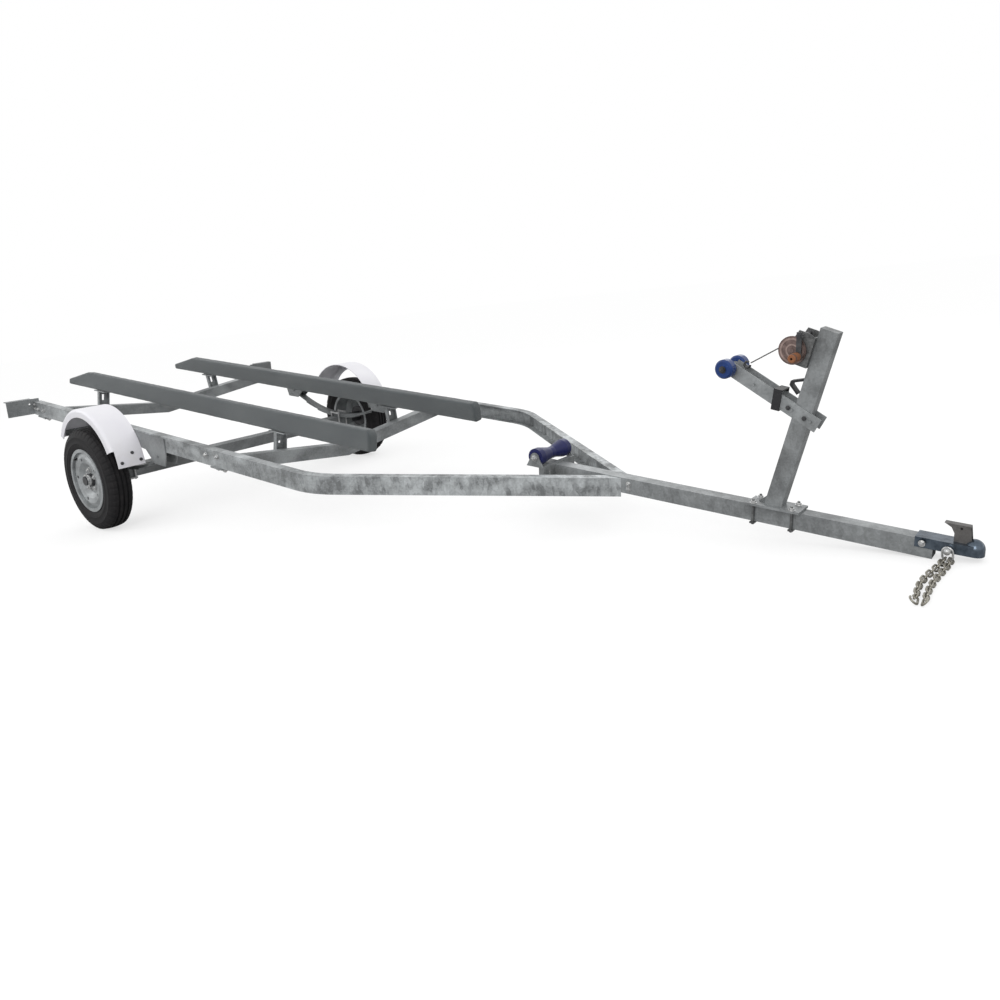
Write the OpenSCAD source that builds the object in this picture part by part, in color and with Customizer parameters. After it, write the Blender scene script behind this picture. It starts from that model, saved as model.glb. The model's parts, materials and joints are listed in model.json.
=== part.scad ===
// Small single-axle boat trailer, parked nose down on its two tyres and its coupler.
// Level build frame: X forward from the axle, Y to port, Z up from the ground under the tyres.

/* [Wheels] */
// Outside radius of the tyre
wheel_r = 267; // [220:1:330]
// Width of the tyre
tyre_w = 120; // [100:1:160]
// Gap between a rail's outside face and the tyre beside it
tyre_gap = 54; // [40:1:80]
// Radius of the rim where the tyre's bead seats
bead_r = 152.4; // [125:0.1:180]
// How far the rim flange stands above the bead seat
flange_rise = 13; // [8:1:16]
// Thickness of the rim's sheet
rim_t = 4; // [3:0.5:6]
// Radius of the axle's spindle
spindle_r = 12.7; // [10:0.1:16]
// Radial clearance of a hub or roller on its shaft
run_gap = 0.05; // [0.02:0.01:0.09]

/* [Frame] */
// Distance between the outside faces of the two side rails
frame_w = 1418; // [1300:1:1500]
// Height of the top of the rails above the axle's centre
rail_rise = 269; // [240:1:340]
// Height of a rail's channel section
rail_h = 78; // [70:1:100]
// Width of a rail's flanges
rail_flange = 40; // [32:1:55]
// Thickness of the channel's wall
rail_t = 4; // [3:0.5:6]
// Straight part of a rail behind the axle
rail_rear = 966; // [850:1:1100]
// Distance from the axle to the corner where the rails turn inwards
bend_x = 1639; // [1450:1:1800]
// Distance from the axle to the point where the rails meet the tongue
join_x = 2713; // [2600:1:2900]
// Radius of the bend in the outside face of a rail
bend_r = 350; // [200:1:450]

/* [Crossmembers] */
// Distance of the rear crossmember ahead of the rails' rear ends
rear_cross_in = 90; // [60:1:200]
// Distance of the front crossmember ahead of the axle
front_cross_x = 950; // [800:1:1100]
// Height of a crossmember's tube
cross_h = 64; // [50:1:80]
// Depth of a crossmember's tube along the trailer
cross_d = 50; // [40:1:60]
// How far the middle of a crossmember hangs below its ends
cross_drop = 90; // [40:1:120]
// Wall of the crossmember's tube
cross_t = 4; // [3:0.5:6]

/* [Axle and springs] */
// Side of the square axle tube
axle_side = 60; // [50:1:70]
// Distance from the axle to each spring eye
spring_half = 430; // [380:1:480]
// Width of a spring leaf
leaf_w = 44; // [38:1:50]
// Thickness of one leaf
leaf_t = 7; // [5:0.5:8]
// Radius of a spring bolt
eye_pin_r = 7; // [6:0.5:9]
// Radius of the bend of the main leaf's top face
leaf_curve_r = 950; // [900:10:2000]

/* [Tongue] */
// Height of the tongue's tube
tongue_h = 63; // [50:1:76]
// Width of the tongue's tube
tongue_w = 56; // [50:1:76]
// Wall of the tongue's tube
tongue_t = 4; // [3:0.5:6]
// Distance from the axle to the rear end of the tongue
tongue_rear = 2290; // [2200:1:2400]
// Distance from the axle to the front end of the tongue
tongue_front = 3900; // [3800:1:4100]

/* [Bunks] */
// Height of a carpeted bunk
bunk_h = 100; // [80:1:130]
// Width of a carpeted bunk
bunk_w = 50; // [40:1:90]
// Distance from the middle of the trailer to a bunk
bunk_y = 345; // [260:1:420]
// Height of the underside of the bunks above the top of the rails
bunk_rise = 9; // [4:1:60]
// How far a bunk reaches behind the axle
bunk_rear = 1320; // [1150:1:1400]
// How far a bunk reaches ahead of the axle
bunk_front = 1600; // [1400:1:1750]
// Length of the ramp cut at a bunk's rear end
bunk_ramp = 250; // [120:1:300]
// Height of the end face under that ramp
bunk_tip_h = 34; // [25:1:60]
// Inward lean of the bunks and their posts, in degrees
bunk_lean = 8; // [0:1:12]

/* [Keel roller] */
// Distance of the keel roller ahead of the tongue's rear end
keel_fwd = 43; // [20:1:70]
// Height of the keel roller's shaft above the top of the rails
keel_rise = 42; // [38:1:80]
// Length of the keel roller
keel_len = 200; // [150:1:230]
// Radius of the keel roller at its ends
keel_end_r = 38; // [32:1:45]
// Radius of the keel roller at its waist
keel_mid_r = 24; // [18:1:30]
// Radius of the keel roller's shaft
keel_shaft_r = 8; // [6:0.5:10]

/* [Winch post] */
// Distance of the winch post's foot behind the tongue's front end
post_back = 545; // [450:1:650]
// Length of the winch post along its lean
post_len = 654; // [600:1:800]
// Depth of the post's tube
post_d = 62; // [50:1:76]
// Width of the post's tube
post_w = 50; // [40:1:60]
// Forward lean of the post, in degrees
post_lean = 14.5; // [5:1:22]
// Wall of the post's tube
post_t = 4; // [3:0.5:5]

/* [Bow stop] */
// Length of the bow arm from its front bolt to the roller shaft
arm_len = 345; // [300:1:400]
// Height of the bow arm's plates
arm_h = 50; // [44:1:76]
// Upward slope of the bow arm towards the rear, in degrees
arm_slope = 27; // [15:1:35]
// Height of the arm's front bolt along the post
arm_up = 345; // [300:1:400]
// Thickness of the arm's plates
arm_t = 5; // [4:0.5:8]
// Radius of a bow roller
bow_roller_r = 34; // [28:1:42]
// Width of a bow roller
bow_roller_w = 46; // [38:1:60]

/* [Winch] */
// Height of the drum's shaft along the post
winch_up = 560; // [500:1:620]
// Distance of the drum's shaft behind the middle of the post
winch_back = 92; // [85:1:110]
// Radius of the big gear disc
gear_r = 48; // [44:1:58]
// Radius of the pinion
pinion_r = 9.5; // [8:0.5:12]
// Distance between the two side plates of the winch
winch_w = 78; // [60:1:100]
// Length of the crank arm
crank_len = 66; // [55:1:160]
// Radius of the crank's grip
grip_r = 15; // [11:1:18]

/* [Fenders] */
// How much larger the outside of a fender's arch is than the tyre's radius
fender_gap = 35; // [29:1:80]
// Height of the centre of a fender's arch above the axle's centre
fender_rise = 68; // [55:1:90]
// Width of a fender
fender_w = 145; // [130:1:170]
// Depth of the skirt on a fender's outer edge
fender_skirt = 42; // [24:1:44]
// Thickness of a fender's shell
fender_t = 4; // [3:0.5:6]

/* [Coupler and chains] */
// Distance from the tongue's front end to the middle of the ball socket
ball_fwd = 118; // [80:1:200]
// Height of the middle of the tow ball in its socket, above the tongue's underside
ball_up = 54; // [48:1:58]
// Radius of the ball socket
socket_r = 25.6; // [23:0.1:26]
// Thickness of the coupler's pressed steel
coupler_t = 5; // [4:0.5:7]
// Wire radius of a chain link
chain_wire_r = 3.3; // [2.5:0.1:4]
// Distance from one chain link to the next
chain_pitch = 25; // [22:0.5:32]
// Number of links that lie on the ground in each chain; odd, so that the hooks turn apart
chain_links = 13; // [9:2:17]

/* [Hidden] */
$fn = 64;
rail_y = frame_w / 2;
rail_top = wheel_r + rail_rise;
rail_z0 = rail_top - rail_h;
wheel_y = rail_y + tyre_gap + tyre_w / 2;
rear_cross_x = rail_rear - rear_cross_in;
bunk_under = rail_top + bunk_rise;
keel_x = tongue_rear + keel_fwd;
keel_z = rail_top + keel_rise;
post_x = tongue_front - post_back;
ball_x = tongue_front + ball_fwd;
fender_r = wheel_r + fender_gap;
fender_z = wheel_r + fender_rise;
tongue_y = tongue_w / 2;
tongue_top = rail_top + 3;
tongue_z0 = tongue_top - tongue_h;
turn = atan((rail_y - tongue_y) / (join_x - bend_x));
bend_start = bend_x - bend_r * tan(turn / 2);
bend_steps = 16;

// The parked pose: nose down about the axle until the tongue's corner or the coupler is on the ground.
function drop_angle(x, z) = atan((z - wheel_r) / x) + asin(wheel_r / norm([x, z - wheel_r]));
nose_r = socket_r + coupler_t;
toe_x = ball_x + nose_r;
toe_z = tongue_z0 + 34;
nose_down = min(drop_angle(tongue_front, tongue_z0), drop_angle(toe_x, toe_z));
function parked_x(x, z) = x * cos(nose_down) + (z - wheel_r) * sin(nose_down) - origin_x;
front_end = toe_x * cos(nose_down) + (tongue_z0 + ball_up - wheel_r) * sin(nose_down);
rear_end = -bunk_rear * cos(nose_down) + (bunk_under - wheel_r) * sin(nose_down);
origin_x = (front_end + rear_end) / 2;

cross_end_y = rail_y - rail_flange - 2;
foot_t = 8;
cross_seat = 14;
cross_under = rail_z0 - foot_t - cross_seat - cross_drop;
cross_slope = atan(cross_drop / cross_end_y);
spring_y = rail_y - rail_t - leaf_w / 2;
axle_top = wheel_r + axle_side / 2;
eye_r = eye_pin_r + leaf_t;
hanger_t = 5;
hanger_out = hanger_t + 0.1;
hub_len = 92;
hub_in_y = wheel_y - 52;
hub_r = 36;
hub_bore_len = 70;
rim_half = 50;
disc_y = 24;
fender_in = rail_y + 6;
band_from = 7;
band_to = 157;
skirt_from = 24;
skirt_to = 154;
fender_corner = 16;
ear_t = 5;
keel_ear_y = keel_len / 2 + 2 + ear_t / 2;
base_t = 8;
base_back = 95;
base_half = 46;
u_bolt_r = 5;
u_bolt_y = tongue_y + u_bolt_r + 0.5;
u_bolt_x = [-70, 75];
post_foot_z = tongue_top + base_t;
arm_y = post_w / 2 + arm_t / 2;
shaft_r = 6;
bow_roller_y = arm_y + arm_t / 2 + 3 + bow_roller_w / 2;
plate_t = 4;
drum_r = 14;
flange_t = 3;
pinion_up = 56;
pinion_fwd = sqrt(pow(gear_r + pinion_r + 0.5, 2) - pow(pinion_up, 2));
gear_y = -(winch_w / 2 + plate_t + 6);
cable_r = 2.4;
wound_r = drum_r + 6 * cable_r;
hook_eye_r = 11;
hook_r = 4;
// The cable leaves the back of the drum and ends at the hook behind and below it.
hook_x = post_x - 129;
hook_z = post_foot_z + 493;
drum_x = post_x - winch_back * cos(post_lean) + winch_up * sin(post_lean);
drum_z = post_foot_z + winch_back * sin(post_lean) + winch_up * cos(post_lean);
cable_line = norm([drum_x - hook_x, drum_z - hook_z]);
cable_tilt = atan((drum_x - hook_x) / (drum_z - hook_z)) - asin((wound_r + cable_r + 0.4) / cable_line);
hook_reach = hook_eye_r + hook_r + 0.2;
cable_run = sqrt(pow(cable_line, 2) - pow(wound_r + cable_r + 0.4, 2)) - hook_reach;
strap_t = 5;
arm_fwd = post_d / 2 + 5;
ball_z = tongue_z0 + ball_up;
coupler_top = tongue_top + coupler_t;
coupler_rear = tongue_front - 56;
coupler_half = tongue_w / 2 + coupler_t;
coupler_bolt_r = 6;
coupler_bolt_x = coupler_rear + 22;
coupler_bolt_z = tongue_top - 18;
latch_t = 3;
latch_half = 13;
latch_hole_r = 4;
latch_hole = [tongue_front + 76, coupler_top + 47];
bend_mid_r = chain_wire_r + 5;
link_straight = chain_pitch + 1 - 2 * (bend_mid_r - chain_wire_r);
bowl_r = 13;
chain_lie = bend_mid_r * sin(45) + chain_wire_r;
shackle_r = 16;
shackle_wire_r = 3.5;
shackle_rise = 12;
shackle_y = coupler_half + shackle_wire_r + 4;
first_link = (chain_pitch + 1) / 2 - shackle_wire_r - 0.5;
anchor_bolt_r = 6;
anchor_x = tongue_front + 46;
anchor_h = chain_lie + shackle_r * sin(45) + shackle_rise + shackle_r - shackle_wire_r - anchor_bolt_r;
anchor_z = wheel_r + (anchor_h - wheel_r + anchor_x * sin(nose_down)) / cos(nose_down);
anchor_park_x = parked_x(anchor_x, anchor_z);
light_t = 4;
light_hole_r = 4.5;
light_hole_y = 21;
light_hole_z = 65;
bunk_mount_x = 300;
jack_x = tongue_front - 250;

// Placing

module parked() {
    translate([-origin_x, 0, wheel_r])
        rotate([0, nose_down, 0])
            translate([0, 0, -wheel_r])
                children();
}

// side is -1 for starboard and 1 for port; shapes are drawn for port
module sided(side) {
    if (side > 0) children();
    else mirror([0, 1, 0]) children();
}

// a 2D section whose x is across and y is up, run forward for a length
module run_forward(len) {
    rotate([90, 0, 90])
        linear_extrude(len)
            children();
}

// a 2D outline whose x is forward and y is up, centred on a plane of constant Y
module upright(thick) {
    rotate([90, 0, 0])
        linear_extrude(thick, center = true)
            children();
}

// a round bar along Y
module cross_bar(r, len) {
    rotate([90, 0, 0])
        cylinder(r = r, h = len, center = true);
}

module tube_section(w, h, t) {
    difference() {
        translate([-w / 2, 0]) square([w, h]);
        translate([-w / 2 + t, t]) square([w - 2 * t, h - 2 * t]);
    }
}

// a leaning frame that stands on the tongue at the foot of the post; Z runs up the post
module on_post() {
    translate([post_x, 0, post_foot_z])
        rotate([0, post_lean, 0])
            children();
}

// the bow arm's frame: origin at its front bolt, X towards the rollers
module on_arm() {
    on_post()
        translate([arm_fwd, 0, arm_up])
            rotate([0, 180 + arm_slope - post_lean, 0])
                children();
}

// the winch's frame: origin on the drum's shaft
module on_winch() {
    on_post()
        translate([-winch_back, 0, winch_up])
            children();
}

// Side rails

// plan of a line along the port rail, some way inboard of its outside face and run past both ends
function rail_line(inboard, past) =
    let(bend = [for (i = [0 : bend_steps])
            let(a = 90 - turn * i / bend_steps)
                [bend_start + (bend_r - inboard) * cos(a),
                    rail_y - bend_r + (bend_r - inboard) * sin(a)]],
        last = bend[bend_steps],
        end_y = tongue_y - past)
    concat([[-rail_rear - past, rail_y - inboard]], bend,
        [[last[0] + (last[1] - end_y) / tan(turn), end_y]]);

module rail_plan(near, far, past) {
    near_line = rail_line(near, past);
    far_line = rail_line(far, past);
    polygon(concat(near_line, [for (i = [len(far_line) - 1 : -1 : 0]) far_line[i]]));
}

// the channel: its web outside, its flanges turned inboard
module rail() {
    translate([0, 0, rail_z0])
        difference() {
            linear_extrude(rail_h) rail_plan(0, rail_flange, 0);
            translate([0, 0, rail_t])
                linear_extrude(rail_h - 2 * rail_t)
                    rail_plan(rail_t, rail_flange + 1, 1);
        }
}

// Crossmembers

module cross_half() {
    rotate([cross_slope, 0, 0])
        rotate([0, 0, 90])
            run_forward(cross_end_y / cos(cross_slope))
                tube_section(cross_d, cross_h, cross_t);
}

module crossmember(x) {
    translate([x, 0, cross_under]) {
        intersection() {
            union() {
                cross_half();
                mirror([0, 1, 0]) cross_half();
            }
            translate([-cross_d, -cross_end_y, -50])
                cube([2 * cross_d, 2 * cross_end_y, 400]);
        }
    }
    for (side = [-1, 1])
        sided(side)
            translate([x - 45, cross_end_y - 50, rail_z0 - foot_t])
                cube([90, rail_y - cross_end_y + 54, foot_t]);
}

// Axle, springs and hangers

module axle() {
    rotate([90, 0, 0])
        translate([0, wheel_r, 0])
            linear_extrude(2 * (hub_in_y - 6), center = true)
                difference() {
                    square(axle_side, center = true);
                    square(axle_side - 10, center = true);
                }
    for (side = [-1, 1])
        sided(side)
            translate([0, 0, wheel_r])
                rotate([-90, 0, 0]) {
                    translate([0, 0, hub_in_y - 10]) cylinder(r = axle_side / 2 - 5, h = 6);
                    translate([0, 0, hub_in_y - 6]) cylinder(r = spindle_r + 6, h = 4);
                    translate([0, 0, hub_in_y - 6]) cylinder(r = spindle_r, h = 6 + hub_bore_len);
                }
}

// main leaf and two shorter leaves under it, curved with their ends up
module leaf_spring() {
    half_angle = asin(spring_half / leaf_curve_r);
    leaves = [[0, 1], [1, 0.72], [2, 0.45]];
    translate([0, spring_y, axle_top + 3 * leaf_t]) {
        for (leaf = leaves)
            upright(leaf_w)
                intersection() {
                    translate([0, leaf_curve_r])
                        difference() {
                            circle(r = leaf_curve_r + leaf[0] * leaf_t + leaf_t, $fn = 256);
                            circle(r = leaf_curve_r + leaf[0] * leaf_t, $fn = 256);
                        }
                    translate([-spring_half * leaf[1], -3 * leaf_t - 1])
                        square([2 * spring_half * leaf[1], 300]);
                }
        for (end = [-1, 1])
            translate([end * spring_half, 0, leaf_curve_r * (1 - cos(half_angle)) + eye_pin_r])
                difference() {
                    cross_bar(eye_r, leaf_w);
                    cross_bar(eye_pin_r + 0.3, leaf_w + 2);
                }
    }
}

eye_z = axle_top + 3 * leaf_t
    + leaf_curve_r * (1 - cos(asin(spring_half / leaf_curve_r))) + eye_pin_r;

// two cheeks beside each spring eye, with the bolt through them; end is 1 in front and -1 behind
module hanger(end) {
    eye_drop = 44;
    for (y = [spring_y - leaf_w / 2 - 4, rail_y + hanger_out - hanger_t / 2])
        translate([end * spring_half, y, 0])
            difference() {
                upright(hanger_t)
                    polygon([[-end * 190, rail_top - 8], [end * 80, rail_top - 8],
                        [end * 80, rail_z0 - 20], [end * 60, eye_z - eye_drop],
                        [-end * 40, eye_z - eye_drop], [-end * 110, rail_z0 - 12],
                        [-end * 190, rail_z0 - 6]]);
                translate([0, 0, eye_z]) cross_bar(eye_pin_r, 10);
            }
    translate([end * spring_half, spring_y, eye_z]) cross_bar(eye_pin_r, leaf_w + 34);
}

module spring_hangers() {
    hanger(1);
    hanger(-1);
}

// U-bolts round the axle with a plate on top of the springs
module axle_clamp() {
    clamp_h = axle_side + 3 * leaf_t + 26;
    for (x = [-axle_side / 2 - 6, axle_side / 2 + 6], y = [-leaf_w / 2 - 6, leaf_w / 2 + 6])
        translate([x, spring_y + y, wheel_r - axle_side / 2 - 12])
            cylinder(r = 5, h = clamp_h);
    translate([-axle_side / 2 - 14, spring_y - leaf_w / 2 - 14, wheel_r - axle_side / 2 - 8])
        cube([axle_side + 28, leaf_w + 28, 8]);
    for (y = [-leaf_w / 2 - 6, leaf_w / 2 + 6])
        translate([-axle_side / 2 - 11, spring_y + y - 5, axle_top + 3 * leaf_t + 1])
            cube([axle_side + 22, 10, 10]);
}

// Light brackets, fenders and their bars

module light_bracket() {
    translate([-rail_rear - light_t, rail_y, rail_z0])
        difference() {
            translate([0, -30, 4]) cube([light_t, 166, rail_h + 12]);
            translate([-1, light_hole_y, light_hole_z])
                rotate([0, 90, 0])
                    cylinder(r = light_hole_r, h = light_t + 2);
        }
    translate([-rail_rear - 34, rail_y + 8, rail_top + 12])
        cube([34, 128, 4]);
}

// bars inside the fender's ends; the front one has an arm back to the spring hanger's outer face
module fender_bars() {
    bar_t = 6;
    bar_turn = 6.6;
    bar_end = band_from + 1.3;
    bar_out = fender_r - fender_t - 0.3;
    bar_in_y = rail_y + hanger_out + 0.2;
    for (from = [bar_end, band_to - 2 - bar_turn])
        fender_turn(from, from + bar_turn)
            translate([bar_out - bar_t, bar_in_y]) square([bar_t, fender_w - 26]);
    fender_turn(bar_end + 1, 29)
        translate([bar_out - 23, bar_in_y]) square([22, 5]);
}

// a ring sector about the arch's centre; the section's x is the radius and y the distance to port
module fender_turn(from, to) {
    translate([0, 0, fender_z])
        rotate([90, 0, 0])
            mirror([0, 0, 1])
                rotate([0, 0, from])
                    rotate_extrude(angle = to - from, $fn = 128)
                        children();
}

// a flat band over the tyre, rounded into a shorter skirt on its outer edge
module fender() {
    outer = fender_in + fender_w;
    corner = [fender_r - fender_corner, outer - fender_corner];
    over = 5;
    difference() {
        fender_turn(band_from, band_to)
            polygon(concat([[fender_r - fender_t, fender_in], [fender_r, fender_in]],
                [for (a = [0:18:90]) corner + fender_corner * [cos(a), sin(a)]],
                [[fender_r - fender_skirt, outer], [fender_r - fender_skirt, outer - fender_t]],
                [for (a = [90:-18:0]) corner + (fender_corner - fender_t) * [cos(a), sin(a)]]));
        for (turn = [[band_from - over, skirt_from], [skirt_to, band_to + over]])
            fender_turn(turn[0], turn[1])
                translate([fender_r - fender_skirt - over, outer - fender_corner - 1])
                    square([fender_skirt + 2 * over, fender_corner + 1 + over]);
    }
}

// Bunks and their posts

module bunk_frame() {
    translate([0, bunk_y, bunk_under])
        rotate([bunk_lean, 0, 0])
            children();
}

module bunk() {
    bunk_frame()
        upright(bunk_w)
            polygon([[-bunk_rear, 0], [-bunk_rear, bunk_tip_h], [-bunk_rear + bunk_ramp, bunk_h],
                [bunk_front - 14, bunk_h], [bunk_front, bunk_h - 30], [bunk_front, 0]]);
}

// a channel that stands behind a crossmember, with a seat under the bunk
module bunk_post(x) {
    post_under = bunk_under - 6;
    foot = cross_under + bunk_y * tan(cross_slope);
    bunk_frame() {
        difference() {
            translate([x - cross_d / 2 - 22, -30, foot - post_under])
                cube([22, 60, post_under - foot - 0.2]);
            translate([x - cross_d / 2 - 18, -26, foot - post_under - 1])
                cube([18, 52, post_under - foot - 5]);
            translate([x - cross_d / 2 - 24, -6, -60])
                cube([10, 12, 36]);
        }
        translate([x - cross_d / 2 - 62, -32, -6])
            cube([124, 64, 6]);
    }
}

// Tongue, keel roller and coupler

module tongue_tube() {
    difference() {
        translate([tongue_rear, 0, tongue_z0])
            run_forward(tongue_front - tongue_rear)
                tube_section(tongue_w, tongue_h, tongue_t);
        translate([coupler_bolt_x, 0, coupler_bolt_z])
            cross_bar(coupler_bolt_r + 0.1, tongue_w + 2);
    }
}

module keel_bracket() {
    web_x = keel_x + keel_end_r + 5;
    translate([web_x, -keel_ear_y - ear_t / 2, tongue_z0 + 4])
        difference() {
            cube([ear_t, 2 * keel_ear_y + ear_t, tongue_h - 2]);
            for (y = [keel_ear_y - 70, keel_ear_y + 60])
                translate([-1, y, 12])
                    cube([ear_t + 2, 12, 32]);
            translate([-1, keel_ear_y + ear_t / 2 - tongue_y - 0.2, -1])
                cube([ear_t + 2, tongue_w + 0.4, tongue_h - 2]);
        }
    difference() {
        translate([tongue_rear, -keel_ear_y - ear_t / 2, tongue_top])
            cube([web_x + ear_t - tongue_rear, 2 * keel_ear_y + ear_t, ear_t]);
        translate([keel_x, 0, keel_z]) cross_bar(keel_end_r + 5, 2 * keel_ear_y - ear_t - 2);
    }
    for (side = [-1, 1])
        sided(side)
            translate([keel_x, keel_ear_y, 0])
                difference() {
                    upright(ear_t)
                        union() {
                            polygon([[-44, tongue_top], [44, tongue_top], [22, keel_z], [-22, keel_z]]);
                            translate([0, keel_z]) circle(r = 22);
                        }
                    translate([0, 0, keel_z]) cross_bar(keel_shaft_r + 0.1, 2 * ear_t);
                }
}

module keel_shaft() {
    translate([keel_x, 0, keel_z])
        cross_bar(keel_shaft_r, 2 * keel_ear_y + ear_t + 16);
}

module keel_spool() {
    translate([keel_x, 0, keel_z])
        rotate([90, 0, 0])
            rotate_extrude()
                polygon([[keel_shaft_r + run_gap, -keel_len / 2], [keel_end_r, -keel_len / 2],
                    [keel_end_r, -keel_len / 2 + 26], [keel_mid_r, -12], [keel_mid_r, 12],
                    [keel_end_r, keel_len / 2 - 26], [keel_end_r, keel_len / 2],
                    [keel_shaft_r + run_gap, keel_len / 2]]);
}

// a pressed sleeve over the tongue's end that narrows to a round nose with the ball socket
module coupler_body() {
    waist_x = tongue_front + 70;
    difference() {
        union() {
            translate([0, 0, toe_z])
                linear_extrude(coupler_top - toe_z)
                    polygon([[coupler_rear, -coupler_half], [waist_x, -coupler_half], [ball_x, -nose_r],
                        [ball_x, nose_r], [waist_x, coupler_half], [coupler_rear, coupler_half]]);
            translate([ball_x, 0, toe_z]) cylinder(r = nose_r, h = ball_z - toe_z);
            translate([ball_x, 0, ball_z]) sphere(r = nose_r);
        }
        translate([coupler_rear - 1, -tongue_y - 0.2, toe_z - 1])
            cube([waist_x - coupler_rear, tongue_w + 0.4, tongue_top - toe_z + 1.2]);
        translate([ball_x, 0, toe_z - 1]) cylinder(r = socket_r, h = ball_z - toe_z + 1);
        translate([ball_x, 0, ball_z]) sphere(r = socket_r);
        translate([ball_x - 60, -60, toe_z - 60]) cube([120, 120, 60]);
        translate([anchor_x, 0, anchor_z]) cross_bar(anchor_bolt_r + 0.1, 3 * coupler_half);
    }
    translate([coupler_bolt_x, 0, coupler_bolt_z]) cross_bar(coupler_bolt_r, 2 * coupler_half + 16);
}

// the bolt through the coupler that carries the chain shackle on the starboard side
module anchor_bolt() {
    translate([anchor_x, 0, anchor_z]) {
        translate([0, (coupler_half - shackle_y - 7) / 2 + 4, 0])
            cross_bar(anchor_bolt_r, coupler_half + shackle_y + 7 + 8);
        translate([0, -shackle_y - 9, 0]) cross_bar(12, 7);
    }
}

// the latch's folded lever: two upright cheeks and a top strip with a point to the rear
module latch() {
    tip = [tongue_front + 24, coupler_top + 58];
    top_front = [tongue_front + 102, coupler_top + 58];
    difference() {
        upright(2 * latch_half)
            polygon([tip, top_front, [tongue_front + 110, coupler_top + 0.2],
                [tongue_front + 56, coupler_top + 0.2], [tongue_front + 56, coupler_top + 28],
                [tongue_front + 46, coupler_top + 46]]);
        translate([tongue_front, -latch_half + latch_t, coupler_top - 5])
            cube([120, 2 * (latch_half - latch_t), 58]);
        translate([latch_hole[0], 0, latch_hole[1]]) cross_bar(latch_hole_r, 3 * latch_half);
        translate([ball_x, 0, ball_z]) sphere(r = nose_r + 0.3);
    }
}

// Winch post and bow stop

module post() {
    on_post() {
        difference() {
            translate([0, 0, -20])
                linear_extrude(post_len + 20)
                    difference() {
                        square([post_d, post_w], center = true);
                        square([post_d - 2 * post_t, post_w - 2 * post_t], center = true);
                    }
            rotate([0, -post_lean, 0])
                translate([-100, -100, -100])
                    cube([200, 200, 100]);
        }
        translate([-post_d / 2, -post_w / 2, post_len])
            cube([post_d, post_w, 3]);
    }
    difference() {
        translate([post_x - base_back, -base_half, tongue_top])
            cube([2 * base_back + 10, 2 * base_half, base_t]);
        for (x = u_bolt_x, y = [-u_bolt_y, u_bolt_y])
            translate([post_x + x, y, tongue_top - 1]) cylinder(r = u_bolt_r + 0.2, h = base_t + 2);
    }
    translate([post_x - post_d / 2 - 12, 0, post_foot_z])
        upright(6)
            polygon([[-20, 0], [16, 0], [24, 36]]);
}

module post_u_bolt(x) {
    for (y = [-u_bolt_y, u_bolt_y])
        translate([x, y, tongue_z0 - 10])
            cylinder(r = u_bolt_r, h = tongue_h + 32);
    translate([x - 9, -tongue_y - 14, tongue_z0 - 6])
        cube([18, tongue_w + 28, 6]);
}

module bow_arm_plates() {
    bolt_r = 4.5;
    rear_bolt = 2 * arm_fwd / cos(arm_slope - post_lean);
    on_arm() {
        for (side = [-1, 1])
            translate([0, side * arm_y, 0])
                difference() {
                    upright(arm_t)
                        union() {
                            translate([-28, -arm_h / 2]) square([arm_len + 28, arm_h]);
                            translate([arm_len, 0]) circle(r = arm_h / 2 - 10);
                        }
                    translate([arm_len, 0, 0]) cross_bar(shaft_r + 0.1, 3 * arm_t);
                }
        for (x = [0, rear_bolt, arm_len - 110])
            translate([x, 0, 0])
                cross_bar(bolt_r, post_w + 2 * arm_t + 14);
    }
}

module bow_shaft() {
    on_arm()
        translate([arm_len, 0, 0])
            cross_bar(shaft_r, 2 * (bow_roller_y + bow_roller_w / 2 + 8));
}

module bow_roller(side) {
    sided(side)
        on_arm()
            translate([arm_len, bow_roller_y, 0])
                rotate([90, 0, 0])
                    rotate_extrude()
                        polygon([[shaft_r + run_gap, -bow_roller_w / 2],
                            [bow_roller_r - 6, -bow_roller_w / 2],
                            [bow_roller_r, -bow_roller_w / 2 + 8], [bow_roller_r, bow_roller_w / 2 - 8],
                            [bow_roller_r - 6, bow_roller_w / 2], [shaft_r + run_gap, bow_roller_w / 2]]);
}

// a band round the arm and a bent loop from the arm to the post
module strap() {
    band_w = post_w + 2 * arm_t;
    band_len = 30;
    band_tilt = 20;
    band_in_h = arm_h / cos(band_tilt) + band_len * tan(band_tilt) + 0.6;
    on_arm()
        translate([138, 0, 0])
            rotate([0, -band_tilt, 0])
                difference() {
                    cube([band_len, band_w + 2 * strap_t, band_in_h + 2 * strap_t], center = true);
                    cube([band_len + 2, band_w + 0.4, band_in_h], center = true);
                }
    on_post()
        translate([-post_d / 2 - 0.2, 0, arm_up + 100])
            rotate([90, 0, 0])
                linear_extrude(28, center = true)
                    polygon([[0, 30], [-46, 6], [-46, -10], [-12, -34], [-8, -28], [-38, -7], [-38, 1],
                        [0, 20]]);
}

// Winch

module winch_plate() {
    upright(plate_t)
        difference() {
            polygon([[winch_back - post_d / 2, -44], [winch_back - post_d / 2, 62],
                [pinion_fwd + 22, pinion_up + 15], [pinion_fwd - 14, pinion_up + 15], [-18, 12],
                [-18, -20], [0, -44]]);
            circle(r = 8);
            translate([pinion_fwd, pinion_up]) circle(r = 6);
        }
}

module winch_housing() {
    on_winch() {
        for (side = [-1, 1])
            translate([0, side * (winch_w / 2 + plate_t / 2), 0])
                winch_plate();
        translate([winch_back - post_d / 2 - 4, -winch_w / 2, -44])
            cube([4, winch_w, 106]);
        translate([winch_back - post_d / 2 - 12, 0, pinion_up - 4])
            cross_bar(5, winch_w);
    }
}

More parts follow.
